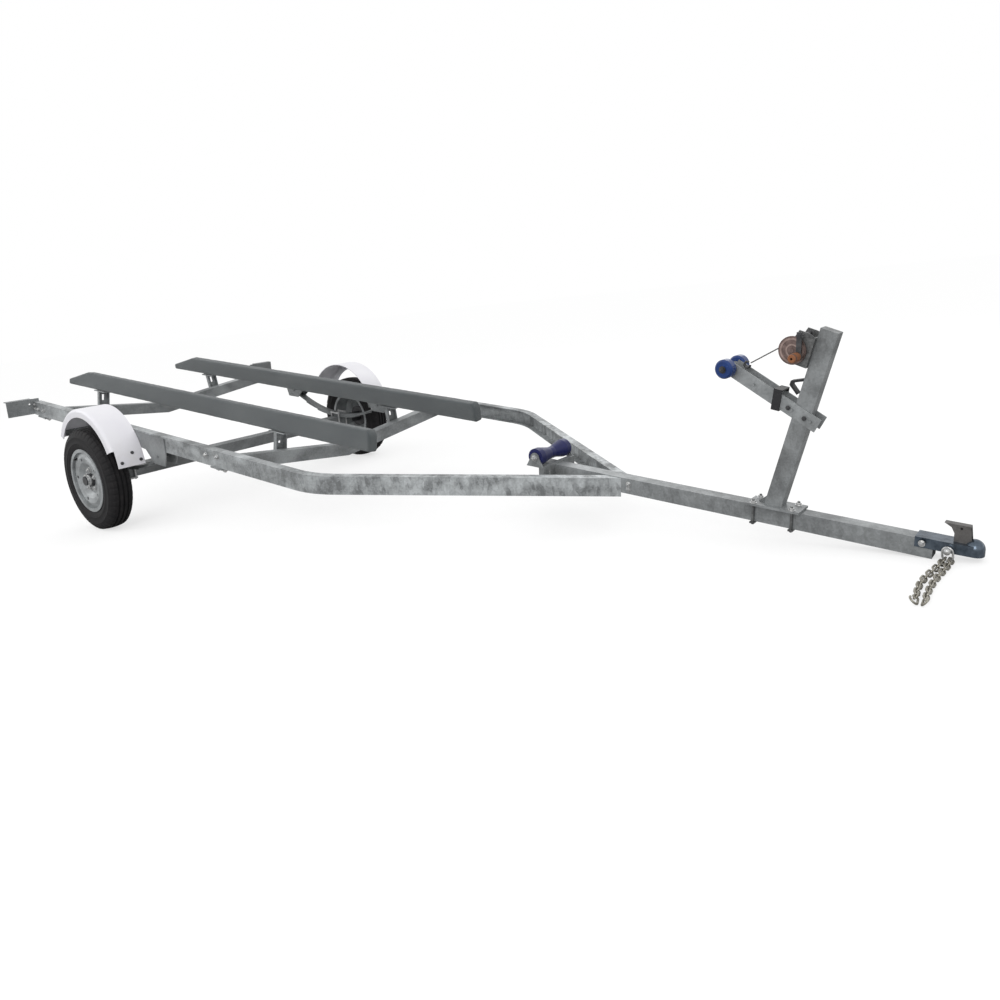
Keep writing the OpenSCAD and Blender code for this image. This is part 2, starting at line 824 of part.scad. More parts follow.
module drum() {
    on_winch() {
        cross_bar(8 - run_gap, winch_w + 2 * plate_t + 30);
        cross_bar(wound_r, winch_w - 2 * flange_t - 4);
        for (side = [-1, 1])
            translate([0, side * (winch_w / 2 - 1 - flange_t / 2), 0])
                cross_bar(wound_r + 12, flange_t);
        translate([0, gear_y, 0]) cross_bar(gear_r, 6);
        translate([0, gear_y, 0]) cross_bar(16, 11);
    }
}

module crank() {
    on_winch()
        translate([pinion_fwd, 0, pinion_up]) {
            cross_bar(6 - run_gap, 2 * (winch_w / 2 + plate_t + 30));
            translate([0, gear_y, 0]) cross_bar(pinion_r, 10);
            translate([0, gear_y - 18, 0])
                rotate([0, 180 - post_lean, 0]) {
                    translate([-9, -2.5, -14]) cube([18, 5, crank_len + 26]);
                    translate([0, 0, crank_len])
                        rotate([90, 0, 0])
                            cylinder(r = 4, h = 62);
                    translate([0, -2.5, crank_len])
                        rotate([90, 0, 0])
                            cylinder(r = grip_r, h = 56);
                }
        }
}

// the taut stretch from the back of the drum down to the hook, in the level frame
module cable() {
    translate([hook_x, 0, hook_z])
        rotate([0, cable_tilt, 0])
            translate([0, 0, hook_reach])
                cylinder(r = cable_r, h = cable_run);
}

// a round hook by the rollers, open below, with the cable's end above it
module hook() {
    translate([hook_x, 0, hook_z])
        rotate([90, cable_tilt - 120, 0])
            rotate_extrude(angle = 300)
                translate([hook_eye_r, 0])
                    circle(r = hook_r);
}

// Safety chains, drawn on the parked ground: X along the chain, each link tilted 45 degrees

module chain_link() {
    for (end = [-1, 1])
        translate([end * link_straight / 2, 0, 0])
            rotate([0, 0, end * 90 - 180])
                rotate_extrude(angle = 180)
                    translate([bend_mid_r, 0])
                        circle(r = chain_wire_r);
    for (side = [-1, 1])
        translate([0, side * bend_mid_r, 0])
            rotate([0, 90, 0])
                cylinder(r = chain_wire_r, h = link_straight, center = true);
}

// the hook on a chain's end: a small eye, a shank along the ground and an open bowl
module chain_hook() {
    shank = 26;
    translate([-link_straight / 2, 0, 0]) {
        rotate_extrude(angle = 270)
            translate([bend_mid_r, 0])
                circle(r = chain_wire_r);
        translate([0, -bend_mid_r, 0])
            rotate([0, 90, 0])
                cylinder(r = chain_wire_r, h = shank);
        translate([shank, bowl_r - bend_mid_r, 0])
            rotate([0, 0, -90])
                rotate_extrude(angle = 200)
                    translate([bowl_r, 0])
                        circle(r = chain_wire_r);
    }
}

// a link's heading, and its place as the sum of the steps before it
function heading(i, bow) = -90 + bow * sin(i * 22);
function laid(i, bow) = i == 0 ? [0, 0]
    : laid(i - 1, bow) + chain_pitch * [cos(heading(i - 0.5, bow)), sin(heading(i - 0.5, bow))];

// side is -1 for the chain on the shackle's rear quarter and 1 for the one on its front quarter
module safety_chain(side, bow) {
    for (i = [0 : chain_links])
        translate([anchor_park_x + side * shackle_r * sin(45) + laid(i, bow)[0],
            -shackle_y - first_link + laid(i, bow)[1], chain_lie])
            rotate([0, 0, heading(i, bow)])
                rotate([-side * (45 + 90 * (i % 2)), 0, 0]) {
                    if (i < chain_links) chain_link();
                    else sided(-side) chain_hook();
                }
}

// an upright long ring on the anchor bolt; the first links pass through its lower quarters
module shackle() {
    translate([anchor_park_x, -shackle_y, chain_lie + shackle_r * sin(45)])
        rotate([90, 0, 0]) {
            for (end = [-1, 1])
                translate([0, end > 0 ? shackle_rise : 0, 0])
                    rotate([0, 0, end * 90 - 90])
                        rotate_extrude(angle = 180)
                            translate([shackle_r, 0])
                                circle(r = shackle_wire_r);
            for (side = [-1, 1])
                translate([side * shackle_r, 0, 0])
                    rotate([-90, 0, 0])
                        cylinder(r = shackle_wire_r, h = shackle_rise);
        }
}

// Wheels

module tyre() {
    side_w = tyre_w / 2;
    section = wheel_r - bead_r;
    half = [[bead_r, rim_half - 1], [bead_r + flange_rise + 4, rim_half - 1],
        [bead_r + section * 0.28, side_w - 2], [bead_r + section * 0.45, side_w],
        [bead_r + section * 0.65, side_w - 1], [bead_r + section * 0.82, side_w - 7],
        [bead_r + section * 0.93, side_w - 16], [wheel_r - 2, side_w - 26], [wheel_r, side_w - 42]];
    other = [for (i = [len(half) - 1 : -1 : 0]) [half[i][0], -half[i][1]]];
    translate([0, wheel_y, wheel_r])
        rotate([90, 0, 0])
            rotate_extrude($fn = 128)
                polygon(concat(half, other));
}

module rim() {
    lip = bead_r + flange_rise;
    translate([0, wheel_y, wheel_r])
        rotate([-90, 0, 0])
            difference() {
                rotate_extrude($fn = 128)
                    union() {
                        translate([bead_r - rim_t, -rim_half]) square([rim_t, 2 * rim_half]);
                        for (end = [-1, 1])
                            translate([bead_r - rim_t, end * (rim_half + rim_t / 2) - rim_t / 2])
                                square([lip - bead_r + rim_t, rim_t]);
                        polygon([[hub_r - 2, disc_y], [70, disc_y], [95, disc_y + 18], [120, disc_y + 22],
                            [bead_r - rim_t, disc_y + 10], [bead_r - rim_t, disc_y + 10 + rim_t + 2],
                            [120, disc_y + 22 + rim_t], [95, disc_y + 18 + rim_t],
                            [70, disc_y + rim_t], [hub_r - 2, disc_y + rim_t]]);
                    }
                for (i = [0 : 4])
                    rotate([0, 0, i * 72 + 36])
                        translate([108, 0, disc_y - 10])
                            cylinder(r = 8, h = 60);
            }
}

module hub() {
    translate([0, hub_in_y, wheel_r])
        rotate([-90, 0, 0])
            difference() {
                union() {
                    cylinder(r = hub_r - 3, h = hub_len);
                    translate([0, 0, 52 + disc_y - 10]) cylinder(r = 68, h = 10);
                    translate([0, 0, hub_len]) cylinder(r = 24, h = 22);
                }
                translate([0, 0, -1]) cylinder(r = spindle_r + run_gap, h = hub_bore_len + 3);
            }
}

// Nodes

module starboard_rail() { color("silver") parked() sided(-1) rail(); }
module port_rail() { color("silver") parked() sided(1) rail(); }
module rear_crossmember() { color("lightgray") parked() crossmember(-rear_cross_x); }
module front_crossmember() { color("lightgray") parked() crossmember(front_cross_x); }
module tongue() { color("silver") parked() tongue_tube(); }
module axle_beam() { color("dimgray") parked() axle(); }
module starboard_leaf_spring() { color("gray") parked() sided(-1) leaf_spring(); }
module port_leaf_spring() { color("gray") parked() sided(1) leaf_spring(); }
module starboard_spring_hangers() { color("silver") parked() sided(-1) spring_hangers(); }
module port_spring_hangers() { color("silver") parked() sided(1) spring_hangers(); }
module axle_clamps() { color("gray") parked() for (side = [-1, 1]) sided(side) axle_clamp(); }
module starboard_light_bracket() { color("silver") parked() sided(-1) light_bracket(); }
module port_light_bracket() { color("silver") parked() sided(1) light_bracket(); }
module starboard_fender_bars() { color("gray") parked() sided(-1) fender_bars(); }
module port_fender_bars() { color("gray") parked() sided(1) fender_bars(); }
module starboard_fender() { color("white") parked() sided(-1) fender(); }
module port_fender() { color("white") parked() sided(1) fender(); }
module starboard_rear_bunk_post() { color("silver") parked() sided(-1) bunk_post(-rear_cross_x); }
module starboard_front_bunk_post() { color("silver") parked() sided(-1) bunk_post(front_cross_x); }
module port_rear_bunk_post() { color("silver") parked() sided(1) bunk_post(-rear_cross_x); }
module port_front_bunk_post() { color("silver") parked() sided(1) bunk_post(front_cross_x); }
module starboard_bunk() { color("dimgray") parked() sided(-1) bunk(); }
module port_bunk() { color("dimgray") parked() sided(1) bunk(); }
module keel_roller_bracket() { color("silver") parked() keel_bracket(); }
module keel_roller_shaft() { color("gray") parked() keel_shaft(); }
module keel_roller() { color("royalblue") parked() keel_spool(); }
module winch_post() { color("silver") parked() post(); }
module post_u_bolts() { color("gray") parked() for (x = u_bolt_x) post_u_bolt(post_x + x); }
module bow_arm() { color("silver") parked() bow_arm_plates(); }
module bow_roller_shaft() { color("gray") parked() bow_shaft(); }
module starboard_bow_roller() { color("royalblue") parked() bow_roller(-1); }
module port_bow_roller() { color("royalblue") parked() bow_roller(1); }
module bow_strap() { color("black") parked() strap(); }
module winch_frame() { color("darkslategray") parked() winch_housing(); }
module winch_drum() { color("rosybrown") parked() drum(); }
module winch_crank() { color("sienna") parked() crank(); }
module winch_cable() { color("dimgray") parked() cable(); }
module cable_hook() { color("black") parked() hook(); }
module coupler() { color("lightsteelblue") parked() coupler_body(); }
module coupler_latch() { color("slategray") parked() latch(); }
module chain_anchor_bolt() { color("silver") parked() anchor_bolt(); }
module chain_shackle() { color("gainsboro") shackle(); }
module rear_safety_chain() { color("tan") safety_chain(-1, -9); }
module front_safety_chain() { color("tan") safety_chain(1, -5); }
module starboard_tyre() { color("black") parked() sided(-1) tyre(); }
module port_tyre() { color("black") parked() sided(1) tyre(); }
module starboard_wheel_rim() { color("gainsboro") parked() sided(-1) rim(); }
module port_wheel_rim() { color("gainsboro") parked() sided(1) rim(); }
module starboard_hub() { color("dimgray") parked() sided(-1) hub(); }
module port_hub() { color("dimgray") parked() sided(1) hub(); }

starboard_rail();
port_rail();
rear_crossmember();
front_crossmember();
tongue();
axle_beam();
starboard_leaf_spring();
port_leaf_spring();
starboard_spring_hangers();
port_spring_hangers();
axle_clamps();
starboard_light_bracket();
port_light_bracket();
starboard_fender_bars();
port_fender_bars();
starboard_fender();
port_fender();
starboard_rear_bunk_post();
starboard_front_bunk_post();
port_rear_bunk_post();
port_front_bunk_post();
starboard_bunk();
port_bunk();
keel_roller_bracket();
keel_roller_shaft();
keel_roller();
winch_post();
post_u_bolts();
bow_arm();
bow_roller_shaft();
starboard_bow_roller();
port_bow_roller();
bow_strap();
winch_frame();
winch_drum();
winch_crank();
winch_cable();
cable_hook();
coupler();
coupler_latch();
chain_anchor_bolt();
chain_shackle();
rear_safety_chain();
front_safety_chain();
starboard_tyre();
port_tyre();
starboard_wheel_rim();
port_wheel_rim();
starboard_hub();
port_hub();
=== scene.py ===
import json
import math
import random

import bmesh
import bpy
from mathutils import Matrix, Vector, noise


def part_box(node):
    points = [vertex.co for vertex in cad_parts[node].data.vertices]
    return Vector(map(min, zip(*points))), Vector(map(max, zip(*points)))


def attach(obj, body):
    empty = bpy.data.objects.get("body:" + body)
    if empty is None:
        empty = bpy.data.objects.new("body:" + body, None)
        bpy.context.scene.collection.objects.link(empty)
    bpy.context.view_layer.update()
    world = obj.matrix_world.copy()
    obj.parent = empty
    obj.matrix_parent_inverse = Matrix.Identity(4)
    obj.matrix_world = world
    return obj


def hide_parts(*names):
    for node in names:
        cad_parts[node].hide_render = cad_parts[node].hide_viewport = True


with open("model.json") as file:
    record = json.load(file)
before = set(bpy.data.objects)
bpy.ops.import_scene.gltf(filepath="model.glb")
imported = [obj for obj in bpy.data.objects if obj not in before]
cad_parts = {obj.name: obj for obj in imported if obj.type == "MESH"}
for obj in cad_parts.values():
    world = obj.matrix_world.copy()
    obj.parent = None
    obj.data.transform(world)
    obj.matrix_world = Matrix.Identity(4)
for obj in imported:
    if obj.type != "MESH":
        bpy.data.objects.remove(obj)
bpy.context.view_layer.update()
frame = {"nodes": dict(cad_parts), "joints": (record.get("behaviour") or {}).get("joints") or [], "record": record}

SIDES = {"starboard": -1, "port": 1}
NODES = frame["nodes"]
RECORD = frame["record"]
JOINTS = {joint["name"]: joint for joint in frame["joints"]}
rng = random.Random(7)

# Placing. The trailer is parked nose down. LEVEL turns a place on the level trailer into its parked place,
# and UNLEVEL turns it back. Lengths are in metres.

axle = Vector(JOINTS["port_wheel_spin"]["pos_m"])
light_axis = next(m["axis"] for m in RECORD["mounts"] if m["name"] == "port_light_hole")
nose_down = math.atan2(light_axis[2], -light_axis[0])
LEVEL = (
    Matrix.Translation((axle.x, 0, axle.z))
    @ Matrix.Rotation(nose_down, 4, "Y")
    @ Matrix.Translation((0, 0, -axle.z))
)
UNLEVEL = LEVEL.inverted()


def level_points(node, frame_in=UNLEVEL):
    """A CAD node's points in the level trailer's frame, or in another frame."""
    return [frame_in @ v.co for v in NODES[node].data.vertices]


def level_box(node, frame_in=UNLEVEL):
    """Lowest and highest corner of a CAD node in the level trailer's frame, or in another frame."""
    points = level_points(node, frame_in)
    low = Vector(min(p[i] for p in points) for i in range(3))
    high = Vector(max(p[i] for p in points) for i in range(3))
    return low, high


# Making pieces

# A bolt's washer and its domed end: radius and height, as shares of half the head's width across flats.
WASHER = ((1.5, 0), (1.5, 0.2), (0.5, 0.25))
BOLT_END = ((0.5, 1.1), (0.5, 1.5), (0.4, 1.62), (0.1, 1.66))
HEX_SIDES = 6


def new_piece(name, mesh_bm, material, body, smooth_deg=35):
    """Turns a bmesh in the parked frame into a piece that rides on a body."""
    mesh = bpy.data.meshes.new(name)
    bmesh.ops.recalc_face_normals(mesh_bm, faces=mesh_bm.faces)
    mesh_bm.to_mesh(mesh)
    mesh_bm.free()
    piece = bpy.data.objects.new(name, mesh)
    bpy.context.scene.collection.objects.link(piece)
    mesh.materials.append(material)
    mesh.shade_smooth()
    mesh.set_sharp_from_angle(angle=math.radians(smooth_deg))
    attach(piece, body)
    return piece


def ring_loft(bm, rings, closed=False):
    """Skins rings of points with the same count; closed joins the last ring to the first, else both ends
    are capped."""
    loops = [[bm.verts.new(p) for p in ring] for ring in rings]
    count = len(loops[0])
    pairs = list(zip(loops, loops[1:]))
    if closed:
        pairs.append((loops[-1], loops[0]))
    for first, second in pairs:
        for i in range(count):
            j = (i + 1) % count
            bm.faces.new((first[i], first[j], second[j], second[i]))
    if not closed:
        bm.faces.new(loops[0])
        bm.faces.new(list(reversed(loops[-1])))


def frame_along(origin, direction):
    """A matrix whose Z is a direction, at an origin."""
    return Matrix.Translation(origin) @ Vector(direction).to_track_quat("Z", "Y").to_matrix().to_4x4()


def around(centre, radius, angle):
    """A point in the upright plane along the trailer, at an angle from straight ahead."""
    return Vector((centre.x + radius * math.cos(angle), centre.y, centre.z + radius * math.sin(angle)))


def turned(bm, matrix, profile, steps):
    """Revolves (radius, height) pairs about a matrix's Z, with flat ends."""
    rings = []
    for radius, height in profile:
        ring = []
        for k in range(steps):
            a = 2 * math.pi * k / steps
            ring.append(matrix @ Vector((radius * math.cos(a), radius * math.sin(a), height)))
        rings.append(ring)
    ring_loft(bm, rings)


def hex_bolt(bm, matrix, across, spin):
    """A washer, a chamfered hexagon head and a domed end, standing on a matrix's XY plane."""
    r = across / 2
    outer = r / math.cos(math.radians(30))
    head = [(outer, 0.2 * r), (outer, 0.95 * r), (0.86 * outer, 1.12 * r), (0.3 * r, 1.14 * r)]
    turned(bm, matrix, [(radius * r, height * r) for radius, height in WASHER], 20)
    turned(bm, matrix @ Matrix.Rotation(spin, 4, "Z"), head, HEX_SIDES)
    turned(bm, matrix, [(radius * r, height * r) for radius, height in BOLT_END], 16)


def bolts(name, places, across, material, body="frame", to_parked=LEVEL):
    """One mesh of bolts; each place is a point and the way that the head faces."""
    bm = bmesh.new()
    for point, facing in places:
        matrix = to_parked @ frame_along(point, facing)
        hex_bolt(bm, matrix, across, rng.uniform(0, 2 * math.pi / HEX_SIDES))
    new_piece(name, bm, material, body)


# Materials


class Shader:
    """A small helper that adds shader nodes and links them by socket name."""

    def __init__(self, name):
        self.material = bpy.data.materials.new(name)
        self.material.use_nodes = True
        self.tree = self.material.node_tree
        self.bsdf = self.tree.nodes["Principled BSDF"]
        self.coords = self.tree.nodes.new("ShaderNodeTexCoord").outputs["Object"]

    def node(self, kind, settings=None, **inputs):
        made = self.tree.nodes.new("ShaderNode" + kind)
        for key, value in (settings or {}).items():
            setattr(made, key, value)
        for key, value in inputs.items():
            self.put(made.inputs[key], value)
        return made

    def put(self, socket, value):
        if isinstance(value, bpy.types.NodeSocket):
            self.tree.links.new(value, socket)
        else:
            socket.default_value = value

    def along(self, axis):
        return self.node("SeparateXYZ", Vector=self.coords).outputs[axis]

    def stretched(self, scale):
        mapping = self.node("Mapping", Vector=self.coords)
        mapping.inputs["Scale"].default_value = scale
        return mapping.outputs["Vector"]

    def noise(self, scale, detail=4.0, rough=0.55, vector=None):
        made = self.node("TexNoise", Vector=vector or self.coords, Scale=scale, Detail=detail)
        made.inputs["Roughness"].default_value = rough
        return made.outputs["Fac"]

    def cells(self, scale, vector=None, soft=0.0):
        """A random grey for each cell, with soft borders if asked."""
        kind = {"feature": "SMOOTH_F1" if soft else "F1"}
        made = self.node("TexVoronoi", kind, Vector=vector or self.coords, Scale=scale)
        if soft:
            made.inputs["Smoothness"].default_value = soft
        return self.node("SeparateColor", Color=made.outputs["Color"]).outputs["Red"]

    def ramp(self, value, stops):
        made = self.node("ValToRGB", Fac=value)
        ramp = made.color_ramp
        while len(ramp.elements) < len(stops):
            ramp.elements.new(0.5)
        for element, (place, colour) in zip(ramp.elements, stops):
            element.position = place
            element.color = (*colour, 1)
        return made.outputs["Color"]

    def span(self, value, low, high, from_low=0.0, from_high=1.0):
        made = self.node("MapRange", Value=value)
        ends = {"From Min": from_low, "From Max": from_high, "To Min": low, "To Max": high}
        for key, number in ends.items():
            made.inputs[key].default_value = number
        return made.outputs["Result"]

    def mix(self, factor, first, second):
        made = self.node("Mix", {"data_type": "RGBA"})
        self.put(made.inputs[0], factor)
        for socket, value in ((made.inputs[6], first), (made.inputs[7], second)):
            self.put(socket, (*value, 1) if isinstance(value, tuple) else value)
        return made.outputs[2]

    def maths(self, operation, first, second):
        made = self.node("Math", {"operation": operation})
        self.put(made.inputs[0], first)
        self.put(made.inputs[1], second)
        return made.outputs[0]

    def weighted(self, parts, start=0.0):
        """The sum of a start and of values that are each multiplied by a weight."""
        total = start
        for value, weight in parts:
            total = self.maths("ADD", total, self.maths("MULTIPLY", value, weight))
        return total

    def bump(self, height, depth, strength=1.0):
        made = self.node("Bump", Height=height, Distance=depth)
        made.inputs["Strength"].default_value = strength
        self.put(self.bsdf.inputs["Normal"], made.outputs["Normal"])

    def finish(self, colour, rough, metal=0.0, **fixed):
        self.put(self.bsdf.inputs["Base Color"], colour)
        self.put(self.bsdf.inputs["Roughness"], rough)
        self.bsdf.inputs["Metallic"].default_value = metal
        for key, value in fixed.items():
            self.bsdf.inputs[key.replace("_", " ")].default_value = value
        return self.material


def grey(level, blue=0.05):
    """A slightly bluish grey."""
    return (level, level * (1 + blue), level * (1 + 1.4 * blue))


def galvanised(name, dark, light, patch=26.0, metal=0.35, stain=0.35, flakes=0.0):
    """Hot-dip zinc: a mottle of large patches, fine spangle, run marks and dull stains. Flakes give
    upright streaks and chips, stronger ahead of the trailer's middle."""
    s = Shader(name)
    patches = s.cells(patch, s.stretched((0.7, 0.7, 1.0)), 0.8)
    warped = s.noise(patch * 0.4, 6.0, 0.65)
    spangle = s.cells(150.0)
    runs = s.noise(14.0, 5.0, 0.7, s.stretched((0.25, 0.25, 2.4)))
    mottle = s.weighted([(patches, 0.30), (warped, 0.85), (spangle, 0.12), (runs, -0.22)])
    if flakes:
        bands = s.noise(1.0, 5.0, 0.7, s.stretched((24.0, 24.0, 6.0)))
        chips = s.cells(1.0, s.stretched((60.0, 60.0, 26.0)))
        fade_end, chip_share = 0.45, 0.3
        strength = s.span(s.along("X"), 0.3 * flakes, flakes, 0.0, fade_end)
        bands = s.maths("SUBTRACT", bands, 0.5)
        chips = s.maths("MULTIPLY", s.maths("SUBTRACT", chips, 0.5), chip_share)
        mottle = s.weighted([(bands, strength), (chips, strength)], mottle)
    stops = [(0.30, grey(dark)), (0.55, grey((dark + light) / 2)), (0.80, grey(light))]
    stains = s.span(s.noise(3.2, 3.0, 0.6), 0.0, stain, 0.52, 0.78)
    colour = s.mix(stains, s.ramp(mottle, stops), (dark * 0.75, dark * 0.72, dark * 0.68))
    s.bump(s.weighted([(patches, 0.4)], s.noise(210.0, 3.0)), 0.0004, 0.35)
    return s.finish(colour, s.span(mottle, 0.58, 0.36), metal)


def carpet():
    """Short looped pile: millimetre loops, worn lighter in places."""
    s = Shader("bunk_carpet")
    loops = s.node("TexVoronoi", Vector=s.coords, Scale=620.0).outputs["Distance"]
    fuzz = s.noise(1400.0, 2.0)
    wear = s.noise(9.0, 5.0, 0.6, s.stretched((0.35, 1, 1)))
    fresh, used, worn = (0.066, 0.078, 0.083), (0.086, 0.099, 0.103), (0.118, 0.130, 0.132)
    colour = s.ramp(wear, [(0.30, fresh), (0.55, used), (0.8, worn)])
    colour = s.mix(s.span(fuzz, 0.0, 0.5), colour, (0.052, 0.056, 0.058))
    s.bump(s.weighted([(fuzz, 0.7)], loops), 0.0016, 0.8)
    return s.finish(colour, 0.95, Sheen_Weight=0.25)


def fender_plastic():
    """White moulded sheet, faintly mottled, with road dust low down."""
    s = Shader("fender_plastic")
    dust_low, dust_high = 0.30, 0.50
    reach = s.span(s.along("Z"), 1.0, 0.0, dust_low, dust_high)
    dust = s.maths("MULTIPLY", reach, s.span(s.noise(24.0, 6.0, 0.7), 0, 1, 0.4, 0.8))
    colour = s.mix(s.noise(7.0, 3.0), (0.66, 0.65, 0.70), (0.74, 0.74, 0.76))
    colour = s.mix(s.maths("MULTIPLY", dust, 0.45), colour, (0.46, 0.43, 0.38))
    s.bump(s.noise(420.0, 2.0), 0.0002, 0.35)
    return s.finish(colour, s.span(s.noise(30.0, 4.0), 0.26, 0.42), Coat_Weight=0.1)


def tyre_rubber():
    """Dull black rubber, dusty in places."""
    s = Shader("tyre_rubber")
    dust = s.noise(26.0, 6.0, 0.65)
    clean, dull, dusty = (0.007, 0.007, 0.008), (0.014, 0.013, 0.014), (0.040, 0.037, 0.034)
    colour = s.ramp(dust, [(0.35, clean), (0.62, dull), (0.9, dusty)])
    s.bump(s.noise(700.0, 3.0), 0.0005, 0.5)
    return s.finish(colour, s.span(dust, 0.55, 0.82), Specular_IOR_Level=0.22)


def plated(name, dark, light, rough=0.35, metal=0.75, tarnish=(0.20, 0.16, 0.11), scale=60.0, share=0.35):
    """Plated or bare metal with cloudy tarnish and fine scratches."""
    s = Shader(name)
    cloud = s.noise(scale, 5.0, 0.65)
    spots = s.span(s.noise(scale * 2.3, 6.0, 0.7), 0.0, share, 0.55, 0.75)
    colour = s.mix(s.span(cloud, 0, 1, 0.3, 0.7), dark, light)
    colour = s.mix(spots, colour, tarnish)
    s.bump(s.noise(scale * 14, 3.0), 0.0002, 0.4)
    return s.finish(colour, s.span(cloud, rough + 0.12, rough - 0.05), metal)


def moulded(name, dark, light, rough=0.3):
    """Solid moulded plastic or rubber with scuffs."""
    s = Shader(name)
    most = 0.5
    scuffs = s.span(s.noise(90.0, 6.0, 0.75), 0, most, 0.58, 0.75)
    colour = s.mix(s.noise(18.0, 3.0), dark, light)
    colour = s.mix(scuffs, colour, tuple(min(1.0, c * 2.2 + 0.03) for c in light))
    s.bump(s.noise(500.0, 2.0), 0.0002, 0.4)
    return s.finish(colour, s.span(scuffs, rough, rough + 0.3, 0, most), Specular_IOR_Level=0.35)


def twisted_wire():
    """Laid strands, seen as slanting bands along the cable."""
    s = Shader("winch_wire")
    bands = s.node("TexWave", {"bands_direction": "DIAGONAL"}, Vector=s.coords, Scale=260.0).outputs["Fac"]
    colour = s.mix(bands, (0.06, 0.06, 0.06), (0.30, 0.30, 0.29))
    s.bump(bands, 0.0008, 0.8)
    return s.finish(colour, s.span(s.noise(80.0), 0.35, 0.6), 0.6)


MATERIALS = {
    "rail_zinc": galvanised("rail_zinc", 0.16, 0.50, 20.0, stain=0.2, flakes=0.75),
    "tongue_zinc": galvanised("tongue_zinc", 0.15, 0.34, 9.0, stain=0.3, flakes=0.35),
    "post_zinc": galvanised("post_zinc", 0.125, 0.29, 15.0, stain=0.35, flakes=0.4),
    "arm_zinc": galvanised("arm_zinc", 0.165, 0.36, 12.0, stain=0.25, flakes=0.25),
    "cross_zinc": galvanised("cross_zinc", 0.17, 0.38, 13.0, stain=0.3),
    "old_zinc": galvanised("old_zinc", 0.10, 0.24, 13.0, 0.25, 0.6),
    "wheel_zinc": galvanised("wheel_zinc", 0.22, 0.40, 34.0, 0.35, 0.25),
    "carpet": carpet(),
    "fender": fender_plastic(),
    "rubber": tyre_rubber(),
    "blue_roller": moulded("blue_roller", (0.008, 0.024, 0.100), (0.014, 0.048, 0.190), 0.25),
    "navy_roller": moulded("navy_roller", (0.006, 0.008, 0.048), (0.012, 0.016, 0.100), 0.35),
    "black_strap": moulded("black_strap", (0.010, 0.010, 0.012), (0.022, 0.022, 0.025), 0.5),
    "grip": moulded("crank_grip", (0.17, 0.060, 0.022), (0.26, 0.105, 0.045), 0.45),
    "gear": plated(
        "winch_copper", (0.095, 0.066, 0.060), (0.235, 0.170, 0.155), 0.36, 0.65, tarnish=(0.07, 0.04, 0.03)
    ),
    "gear_edge": plated(
        "winch_edge", (0.24, 0.175, 0.155), (0.42, 0.32, 0.29), 0.32, 0.7, tarnish=(0.12, 0.07, 0.05)
    ),
    "dark_steel": plated(
        "dark_steel", (0.030, 0.031, 0.034), (0.085, 0.086, 0.090), 0.42, 0.5, tarnish=(0.09, 0.05, 0.03)
    ),
    "worn_steel": plated(
        "worn_steel", (0.060, 0.062, 0.064), (0.200, 0.205, 0.205), 0.40, 0.6, tarnish=(0.07, 0.05, 0.04)
    ),
    "hardware": plated("zinc_hardware", (0.34, 0.35, 0.36), (0.62, 0.62, 0.61), 0.30, 0.7),
    "coupler": plated(
        "coupler_zinc", (0.042, 0.058, 0.078), (0.140, 0.172, 0.212), 0.20, 0.8,
        tarnish=(0.04, 0.05, 0.06), scale=34.0,
    ),
    "latch": plated(
        "latch_steel", (0.085, 0.080, 0.080), (0.150, 0.145, 0.140), 0.45, 0.5,
        tarnish=(0.10, 0.10, 0.06), scale=40.0,
    ),
    "chain": plated(
        "chain_zinc", (0.15, 0.14, 0.115), (0.40, 0.385, 0.335), 0.34, 0.65,
        tarnish=(0.13, 0.10, 0.06), scale=120.0, share=0.5,
    ),
    "wire": twisted_wire(),
}

# Which material each CAD node shows: the first row whose words are in the node's name.
NODE_LOOKS = [
    ("fender_bars", "old_zinc"),
    ("axle_beam", "old_zinc"),
    ("leaf_spring", "old_zinc"),
    ("_rail", "rail_zinc"),
    ("crossmember", "cross_zinc"),
    ("bunk_post", "cross_zinc"),
    ("light_bracket", "tongue_zinc"),
    ("spring_hangers", "tongue_zinc"),
    ("tongue", "tongue_zinc"),
    ("keel_roller_bracket", "tongue_zinc"),
    ("winch_post", "post_zinc"),
    ("post_u_bolts", "worn_steel"),
    ("bow_arm", "arm_zinc"),
    ("keel_roller_shaft", "hardware"),
    ("bow_roller_shaft", "hardware"),
    ("keel_roller", "navy_roller"),
    ("bow_roller", "blue_roller"),
    ("_fender", "fender"),
    ("wheel_rim", "wheel_zinc"),
    ("_hub", "dark_steel"),
    ("_tyre", "rubber"),
    ("_bunk", "carpet"),
    ("bow_strap", "black_strap"),
    ("winch_frame", "worn_steel"),
    ("winch_drum", "gear"),
    ("winch_crank", "dark_steel"),
    ("winch_cable", "wire"),
    ("cable_hook", "dark_steel"),
    ("coupler_latch", "latch"),
    ("coupler", "coupler"),
    ("safety_chain", "chain"),
    ("", "hardware"),
]


def dress_nodes():
    """Gives every CAD node its material."""
    for name, node in NODES.items():
        look = next(material for words, material in NODE_LOOKS if words in name)
        node.data.materials.clear()
        node.data.materials.append(MATERIALS[look])


# Bunks: carpet wrapped round a board, soft at its edges

BUNK_LEAN = math.radians(8)
# How much a section near an end shrinks, and how far it is from that end.
BUNK_ENDS = ((0.010, 0.0004), (0.004, 0.002))


